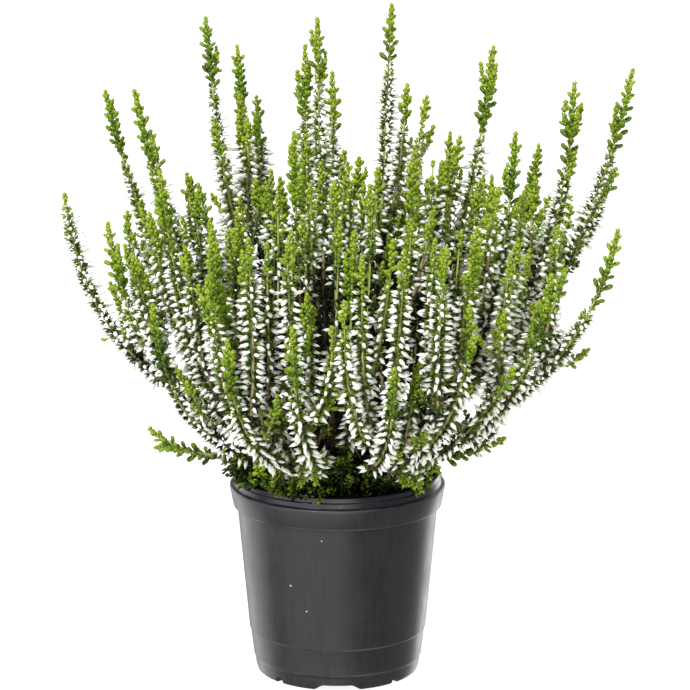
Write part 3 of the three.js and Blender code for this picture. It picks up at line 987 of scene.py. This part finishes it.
def tubeTree():
    tree, sheet, given = newTree("tubes along stems", {
        "Float": ["Step", "Relief"], "Int": ["Sides"], "Material": ["Material"]})
    stems = sheet.node("GeometryNodeMeshToCurve", {"Mesh": given})
    curve = sheet.node("GeometryNodeResampleCurve", {"Curve": stems, "Length": given["Step"]}, mode="LENGTH")
    ring = sheet.node("GeometryNodeCurvePrimitiveCircle", {"Resolution": given["Sides"], "Radius": 1.0})
    thick = sheet.layer("thick")
    tube = sheet.node("GeometryNodeCurveToMesh", {
        "Curve": curve, "Profile Curve": ring, "Scale": thick, "Fill Caps": True})
    place = sheet.node("GeometryNodeInputPosition")
    normal = sheet.node("GeometryNodeInputNormal")
    furrows = sheet.noise(sheet.stretched(place, (1, 1, 0.35)), 900)
    rise = (furrows - 0.5) * given["Relief"] * thick
    endTree(sheet, sheet.moved(tube, sheet.scaled(normal, rise)), given["Material"])
    return tree


def dressTree():
    tree, sheet, given = newTree("things along stems", {
        "Object": ["Thing"], "Material": ["Material"], "Int": ["Seed"], "String": ["Grade", "Rate", "Tone"],
        "Float": ["Spacing", "Turn spread", "Lean", "Lean spread", "Tip lean", "Tip reach", "Hang", "Seat",
                  "Size spread", "Share", "Tone low", "Tone high", "Tone spread"]})
    stems = sheet.node("GeometryNodeMeshToCurve", {"Mesh": given})
    spaced = {"Curve": stems, "Length": given["Spacing"]}
    places = sheet.node("GeometryNodeCurveToPoints", spaced, mode="LENGTH")
    tangent, normal = places["Tangent"], places["Normal"]
    index = sheet.node("GeometryNodeInputIndex")
    counted = sheet.node("GeometryNodeStoreNamedAttribute", {
        "Geometry": places, "Name": "place", "Value": index}, data_type="FLOAT", domain="POINT")
    pairs = sheet.node("GeometryNodeDuplicateElements", {"Geometry": counted, "Amount": 2}, domain="POINT")

    def swing(shift):  # a draw from -1 to 1 for each thing
        return sheet.random(-1.0, 1.0, given["Seed"] + shift)

    fromTip = sheet.layer("fromTip")
    nearTip = sheet.ranged(fromTip, 0, given["Tip reach"])
    # each pair stands at a right angle to the last
    turn = sheet.layer("place") * (math.pi / 2) + pairs["Duplicate Index"] * math.pi
    turn = turn + swing(1) * given["Turn spread"]
    outward = sheet.node("ShaderNodeVectorRotate", {
        "Vector": normal, "Axis": tangent, "Angle": turn}, rotation_type="AXIS_ANGLE")
    lean = sheet.ranged(nearTip, 0, 1, given["Tip lean"], given["Lean"])
    lean = lean + swing(2) * given["Lean spread"] * (0.2 + nearTip * 0.8)
    sine = sheet.maths("SINE", lean, 0.0)
    cosine = sheet.maths("COSINE", lean, 0.0)
    way = sheet.vectors("ADD", sheet.scaled(outward, sine), sheet.scaled(tangent, cosine))
    down = sheet.node("ShaderNodeCombineXYZ", {"Z": sheet.layer("hang") * given["Hang"] * -1})
    way = sheet.vectors("ADD", way, down)
    axes = {"Primary Axis": way, "Secondary Axis": sheet.scaled(tangent, -1.0)}
    rotation = sheet.node("FunctionNodeAxesToRotation", axes, primary_axis="Z", secondary_axis="X")
    size = sheet.layer(given["Grade"]) * (1 + swing(3) * given["Size spread"])
    tone = sheet.layer(given["Tone"]) + swing(4) * given["Tone spread"]
    rate = sheet.layer(given["Rate"]) * given["Share"]
    inTone = (tone > given["Tone low"]) * (1 - (tone > given["Tone high"]))
    kept = (sheet.random(0.0, 1.0, given["Seed"] + 5) < rate) * inTone
    seated = sheet.moved(pairs, sheet.scaled(outward, sheet.layer("thick") * given["Seat"]))
    placed = sheet.placed(given["Thing"], seated, {"Selection": kept, "Rotation": rotation, "Scale": size})
    endTree(sheet, placed, given["Material"])
    return tree


def runTree(name, mesh, tree, settings):
    # runs a growing tree on a mesh, and hands back the plain mesh that it makes
    carrier = newPiece(name, mesh)
    growth = carrier.modifiers.new("growth", "NODES")
    growth.node_group = tree
    for item in tree.interface.items_tree:
        if item.in_out == "INPUT" and item.name in settings:
            growth[item.identifier] = settings[item.name]
    made = evaluated(carrier)
    bpy.data.objects.remove(carrier)
    return made


# small shapes that repeat, in millimetres: Z along the thing, X away from the tip of the stem
def spindle(rings, sides, end, twist=0):
    points = [(0, 0, 0)]
    for row, (z, radius) in enumerate(rings):
        for k in range(sides):
            angle = fullTurn * k / sides + twist * row
            points.append((radius * math.cos(angle), radius * math.sin(angle), z))
    points.append((0, 0, end))
    last = len(points) - 1
    faces = []
    for k in range(sides):
        following = (k + 1) % sides
        faces.append((0, 1 + following, 1 + k))
        for row in range(len(rings) - 1):
            low, high = 1 + row * sides, 1 + (row + 1) * sides
            faces.append((low + k, low + following, high + following, high + k))
        top = last - sides
        faces.append((last, top + k, top + following))
    return np.array(points, float), faces


def scaleLeaf(length, width, keel):
    # a small leaf with a ridge along its outer side, flat against the stem
    points, faces = spindle([(length * 0.56, 1)], 3, length)
    points[:, 1] *= width / math.sqrt(3)
    outer = points[:, 0] > 0
    points[outer, 0] *= keel
    points[~outer, 0] *= keel * 0.3
    points[-1, 0] = -keel * 0.12
    return points, faces


def leaned(shape, lean, turn, lift, out=0, size=1):
    points, faces = shape
    c, s = math.cos(lean), math.sin(lean)
    x = points[:, 0] * size * c + points[:, 2] * size * s + out
    z = -points[:, 0] * size * s + points[:, 2] * size * c + lift
    y = points[:, 1] * size
    c, s = math.cos(turn), math.sin(turn)
    return np.stack([x * c - y * s, x * s + y * c, z], axis=1), faces


def gathered(shapes):
    points, faces = [], []
    for shapePoints, shapeFaces in shapes:
        first = sum(len(each) for each in points)
        points.append(shapePoints)
        faces += [tuple(first + k for k in face) for face in shapeFaces]
    return np.concatenate(points), faces


def club(length, width):
    # a short side shoot: a plump core, and two scale leaves that stand off it
    rings = [(0.22, 0.26), (0.6, 0.44), (0.87, 0.38)]
    core = spindle([(length * z, width * radius) for z, radius in rings], 4, length)
    leaf = scaleLeaf(length * 0.62, width * 0.85, width * 0.38)
    shapes = [core]
    for lean, turn, lift in ((16, math.pi / 2, 0.2), (16, -math.pi / 2, 0.36)):
        shapes.append(leaned(leaf, math.radians(lean), turn, length * lift, width * 0.1))
    return gathered(shapes)


def tuft(length, width):
    # three narrow leaves at a node
    leaf = scaleLeaf(length, width, width * 0.5)
    return gathered([leaned(leaf, math.radians(lean), turn, 0, 0.1, size)
                     for lean, turn, size in ((8, 0, 1), (34, 2.2, 0.8), (38, -2.1, 0.85))])


def bracts():
    # the dark little leaves that hold a bud, most of them above it
    leaf = scaleLeaf(4.2, 1.6, 0.75)
    return gathered([leaned(leaf, math.radians(lean), turn, 0.1, 0.1, size)
                     for lean, turn, size in ((42, math.pi, 1), (30, 2.1, 0.8), (30, -2.0, 0.75))])


def bud():
    # a closed bud past its stalk
    points, faces = spindle([(1.1, 0.92), (3.0, 0.9)], 6, 5.3, 0.3)
    return points + np.array([0, 0, 1.3]), faces


def youngBud():
    # a round green bud close to its stem
    points, faces = spindle([(0.7, 1.15), (2.0, 1.2)], 5, 3.2, 0.3)
    return points + np.array([0, 0, 0.4]), faces


def budCup():
    # the stalk that widens to the small green cup round the foot of a bud
    return spindle([(1.9, 0.72)], 5, 2.7)


def template(name, shape):
    points, faces = shape
    mesh = bpy.data.meshes.new(name)
    mesh.from_pydata((points * mm).tolist(), [], faces)
    return newPiece(name, mesh)


# the peat and the woody foot
ground = {"edge": 98.5, "ring": (34, 99.6), "top": (18, 100), "under": 94, "gap": 0.3, "rings": 22,
          "sides": 90, "crumbsFrom": 98.1, "crumbSize": (0.4, 1.3)}


def peatFinish(name, dark, pale):
    sheet = Finish(name, {"Specular IOR Level": 0.25, "Roughness": 0.95})
    patches = sheet.noise(sheet.place, 420, 4)
    sheet.feed("Base Color", sheet.blended(sheet.ranged(patches, 0.35, 0.65), dark, pale))
    sheet.roughen(patches, 0.6, 0.6)
    return sheet.material


def roughen(mesh, size, scale, seed):
    # pushes points of a mesh along their normals by layered sines, about size in millimetres
    count = len(mesh.vertices)
    places, normals = np.zeros(count * 3), np.zeros(count * 3)
    mesh.vertices.foreach_get("co", places)
    mesh.vertices.foreach_get("normal", normals)
    places, normals = places.reshape(-1, 3), normals.reshape(-1, 3)
    draws = seededDraws(seed)
    rise = np.zeros(count)
    for layer in range(6):
        way = anyWay(draws) * scale * (1 + layer)
        rise += np.sin(places @ way + next(draws) * fullTurn) / (1 + layer * 0.5)
    mesh.vertices.foreach_set("co", (places + normals * rise[:, None] * size * mm).ravel())
    mesh.update()


def makePeat():
    edge = pot["collar"][0] - pot["tierStep"] - pot["wall"] - ground["gap"]
    level, top = ground["top"]
    ring, ringHeight = ground["ring"]
    outline = [(0, ground["under"]), (edge, ground["under"]), (edge, ground["edge"])]
    for k in range(1, ground["rings"]):
        radius = edge * (1 - k / ground["rings"])
        high = np.interp(radius, (0, level, ring, edge), (top, top, ringHeight, ground["edge"]))
        outline.append((radius, high))
    outline.append((0, top))
    mesh = turned("peat", outline, ground["sides"])
    roughen(mesh, size=0.18, scale=1500, seed=7)
    smoothOver(mesh, 50)
    brown = peatFinish("peat", (0.012, 0.008, 0.006, 1), (0.045, 0.028, 0.018, 1))
    piece = newPiece("peat", mesh, brown)
    settle(piece, "peat", ["soil"])
    return mesh


def crumbTree():
    tree, sheet, given = newTree("crumbs on the peat", {
        "Object": ["Thing"], "Material": ["Material"], "Float": ["Density"], "Int": ["Seed"]})
    height = sheet.part(sheet.node("GeometryNodeInputPosition"), "Z")
    onTop = height > ground["crumbsFrom"] * mm
    spots = sheet.node("GeometryNodeDistributePointsOnFaces", {
        "Mesh": given, "Selection": onTop, "Density": given["Density"], "Seed": given["Seed"]})
    anyTurn = {0: (0, 0, 0), 1: (fullTurn, fullTurn, fullTurn), "Seed": given["Seed"] + 1}
    turn = sheet.node("FunctionNodeRandomValue", anyTurn, data_type="FLOAT_VECTOR")
    size = sheet.random(*ground["crumbSize"], given["Seed"] + 2)
    placed = sheet.placed(given["Thing"], spots, {"Rotation": turn, "Scale": size})
    endTree(sheet, placed, given["Material"])
    return tree


def makeCrumbs(peatMesh):
    crumb = template("crumb", spindle([(0.5, 0.55), (1.1, 0.42)], 5, 1.6, 0.5))
    tree = crumbTree()
    for name, seed, density, dark, pale in (
        ("peatCrumbs", 3, 90000, (0.01, 0.007, 0.005, 1), (0.05, 0.03, 0.02, 1)),
        ("paleCrumbs", 8, 14000, (0.09, 0.06, 0.04, 1), (0.16, 0.12, 0.085, 1)),
    ):
        finish = peatFinish(name, dark, pale)
        mesh = runTree(name, peatMesh.copy(), tree, {
            "Thing": crumb, "Material": finish, "Density": float(density), "Seed": seed})
        piece = newPiece(name, mesh)
        settle(piece, "peat")
    bpy.data.objects.remove(crumb)


def barkFinish(name, dark, pale, moss):
    sheet = Finish(name, {"Specular IOR Level": 0.3})
    furrows = sheet.noise(sheet.stretched(sheet.place, (1, 1, 0.3)), 900, 3)
    patches = sheet.noise(sheet.place, 90, 2)
    colour = sheet.blended(sheet.ranged(furrows, 0.38, 0.62), dark, pale)
    colour = sheet.blended(sheet.ranged(patches, 0.5, 0.75) * 0.5, colour, moss)
    sheet.feed("Base Color", colour)
    sheet.feed("Roughness", 0.72 + furrows * 0.2)
    sheet.roughen(furrows, 0.5, 0.3)
    return sheet.material


def makeBurl(finish):
    # a ball on a skirt that widens to its flat cut
    skirt = burl["skirt"]
    outline = [(0, skirt[0][1]), *skirt]
    lowest = math.pi - math.acos((burl["centre"] - skirt[-1][1]) / burl["radius"])
    for k in range(1, burl["rings"]):
        angle = lowest * (1 - k / burl["rings"])
        outline.append((burl["radius"] * math.sin(angle), burl["centre"] + burl["radius"] * math.cos(angle)))
    outline.append((0, burl["centre"] + burl["radius"]))
    mesh = turned("burl", outline, burl["sides"])
    roughen(mesh, size=0.16, scale=2600, seed=21)
    smoothOver(mesh)
    settle(newPiece("burl", mesh, finish), "wood", ["trunk"])


def plainFinish(name, colour, roughness):
    # a plain tint with a little cloudiness in its gloss
    sheet = Finish(name, {"Base Color": colour, "Specular IOR Level": 0.18})
    sheet.feed("Roughness", roughness + sheet.noise(sheet.place, 500, 1) * 0.12)
    return sheet.material


peatMesh = makePeat()
makeCrumbs(peatMesh)
barkTints = ((0.02, 0.013, 0.009, 1), (0.12, 0.08, 0.048, 1), (0.045, 0.05, 0.022, 1))
barkBrown = barkFinish("heather bark", *barkTints)
makeBurl(barkBrown)
print("peat and burl made")

stems, sprigs = growStems()
print(len(stems), "stems and", len(sprigs), "sprigs grown")

tubes = tubeTree()
dressing = dressTree()
boughNodes = sorted(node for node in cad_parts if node.startswith("bough"))
massNodes = sorted(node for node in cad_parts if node.startswith("foliage"))
# how far up a stem the tan bark goes, and how far out in the crown it starts: until then the dark bark goes
# on as painted shade
youngShare = 0.68
shadeShare = 0.25


def stemParts(stem):
    # a stem in three lengths: dark bark at its foot and on through the crown's dark middle as painted shade,
    # then tan, and green towards the tip
    last = len(stem["points"]) - 1
    outside = np.flatnonzero(outerShare(stem["points"]) > shadeShare)
    shade = max(round(kinds[stem["kind"]]["woody"] * last), outside[0] if len(outside) else last)
    cuts = [0, shade, max(round(youngShare * last), shade), last]
    for low, high in zip(cuts, cuts[1:]):
        keep = slice(low, high + 1)
        part = {key: value[keep] if isinstance(value, np.ndarray) else value for key, value in stem.items()}
        yield part if high > low else None


def makeStems():
    woody, young, thin = zip(*[stemParts(stem) for stem in stems])
    tan = barkFinish("tan stem bark", (0.24, 0.19, 0.08, 1), (0.5, 0.41, 0.22, 1), (0.4, 0.42, 0.15, 1))
    green = plainFinish("young stem", (0.4, 0.46, 0.14, 1), 0.5)
    # the stems of the rim mat are a dark green-brown: painted shade under the crown
    shaded = plainFinish("mat stem", (0.05, 0.065, 0.018, 1), 0.6)
    twigs = [stem for stem in sprigs if stem["kind"] != "rim"]
    mat = [stem for stem in sprigs if stem["kind"] == "rim"]
    for name, wire, finish, step, sides, relief, slot, nodes in (
        ("boughs", woody, barkBrown, 1.9, 7, 0.5, "wood", boughNodes),
        ("youngStems", young, tan, 2.4, 5, 0.3, "wood", massNodes),
        ("thinStems", thin + tuple(twigs), green, 3.2, 3, 0.1, "wood", massNodes),
        ("matStems", mat, shaded, 3.2, 3, 0.1, "wood", massNodes),
    ):
        mesh = runTree(name, wireOf(name, [part for part in wire if part]), tubes, {
            "Step": step * mm, "Sides": sides, "Relief": relief, "Material": finish})
        settle(newPiece(name, mesh), slot, nodes)


makeStems()
print("stems made")

leafTints = {  # tone from, tone to, colour
    "leavesLime": (-1, 0.14, (0.27, 0.37, 0.028, 1)),
    "leavesFresh": (0.14, 0.27, (0.2, 0.31, 0.02, 1)),
    "leavesMid": (0.27, 0.42, (0.125, 0.2, 0.015, 1)),
    "leavesDeep": (0.42, 0.58, (0.05, 0.088, 0.011, 1)),
    # near black for the leaves in the crown's dark middle: painted shade
    "leavesShade": (0.58, 9, (0.008, 0.014, 0.004, 1)),
}
plainDressing = {"Grade": "even", "Hang": 0.0, "Share": 0.96, "Tone": "tone"}
dressings = {
    "clubs": {"Rate": "clubRate", "Grade": "clubSize", "Spacing": 3.3 * mm, "Turn spread": 0.25, "Lean": 0.8,
              "Lean spread": 0.16, "Tip lean": 0.42, "Tip reach": 11 * mm, "Seat": 0.3, "Size spread": 0.16,
              "Tone spread": 0.07, "Seed": 11},
    "scales": {"Rate": "scaleRate", "Spacing": 1.6 * mm, "Turn spread": 0.2, "Lean": 0.4, "Lean spread": 0.12,
               "Tip lean": 0.06, "Tip reach": 7 * mm, "Seat": 0.5, "Size spread": 0.15, "Tone spread": 0.06,
               "Seed": 31},
    "pairs": {"Rate": "pairRate", "Spacing": 1.5 * mm, "Turn spread": 0.3, "Lean": 0.95, "Lean spread": 0.3,
              "Tip lean": 0.3, "Tip reach": 5 * mm, "Seat": 0.5, "Size spread": 0.3, "Share": 0.95,
              "Tone spread": 0.1, "Seed": 41},
    "tufts": {"Rate": "tuftRate", "Spacing": 2.6 * mm, "Turn spread": 0.5, "Lean": 0.9, "Lean spread": 0.25,
              "Tip lean": 0.6, "Tip reach": 8 * mm, "Seat": 0.7, "Size spread": 0.3, "Share": 0.6,
              "Tone spread": 0.12, "Seed": 51},
    "buds": {"Rate": "budRate", "Grade": "budSize", "Spacing": 1.9 * mm, "Turn spread": 0.45, "Lean": 1.6,
             "Lean spread": 0.3, "Tip lean": 1.6, "Tip reach": 10 * mm, "Hang": 1.0, "Seat": 0.8,
             "Size spread": 0.14, "Tone spread": 0.0, "Seed": 71},
}
ripeSize = 0.8  # buds under this share of their full size are still green


def dressed(kind, wire, shape, finish, low, high, changes):
    # one kind of leaf or bud along the stems, where its tone lies between two values
    settings = {**plainDressing, **dressings[kind], "Thing": shape, "Material": finish,
                "Tone low": float(low), "Tone high": float(high), **changes}
    return runTree(kind, wire.copy(), dressing, settings)


def makeLeaves(wires):
    shapes = [
        ("clubs", template("club", club(length=5.5, width=2.35))),
        ("scales", template("scale", scaleLeaf(length=3.1, width=2.7, keel=1.15))),
        ("pairs", template("leaf", scaleLeaf(length=3.1, width=1.7, keel=0.9))),
        ("tufts", template("tuft", tuft(length=3.7, width=1.45))),
        ("buds", template("bracts", bracts())),
    ]
    for name, (low, high, colour) in leafTints.items():
        finish = plainFinish(name, colour, 0.42)
        parts = []
        for kind, shape in shapes:
            changes = {"Tone spread": 0.14} if kind == "buds" else {}
            parts += [dressed(kind, wire, shape, finish, low, high, changes) for wire in wires.values()]
        for first, part in enumerate(wires):
            mesh = joined(name + part, parts[first::len(wires)])
            smoothOver(mesh)
            settle(newPiece(name + part, mesh, finish), "foliage", massNodes)
    for kind, shape in shapes:
        bpy.data.objects.remove(shape)


def makeBuds(wires):
    white = plainFinish("bud white", (0.92, 0.92, 0.84, 1), 0.45)
    young = plainFinish("young bud", (0.5, 0.6, 0.24, 1), 0.45)
    green = plainFinish("bud green", (0.26, 0.36, 0.07, 1), 0.5)
    budShape = template("bud", bud())
    youngShape = template("young bud", youngBud())
    cupShape = template("cup", budCup())
    for part, wire in wires.items():
        for name, shape, finish, low, high in (
            ("buds", budShape, white, ripeSize, 9),
            ("youngBuds", youngShape, young, -9, ripeSize),
            ("budCups", cupShape, green, ripeSize, 9),
        ):
            mesh = dressed("buds", wire, shape, finish, low, high, {"Tone": "budSize"})
            settle(newPiece(name + part, mesh), "buds", massNodes)
    for shape in (budShape, youngShape, cupShape):
        bpy.data.objects.remove(shape)


high = [stem for stem in stems + sprigs if stem["kind"] in highKinds]
low = [stem for stem in stems + sprigs if stem["kind"] not in highKinds]
wires = {"High": wireOf("high stems", high), "Low": wireOf("low stems", low)}
makeLeaves(wires)
makeBuds(wires)
print("leaves and buds made")
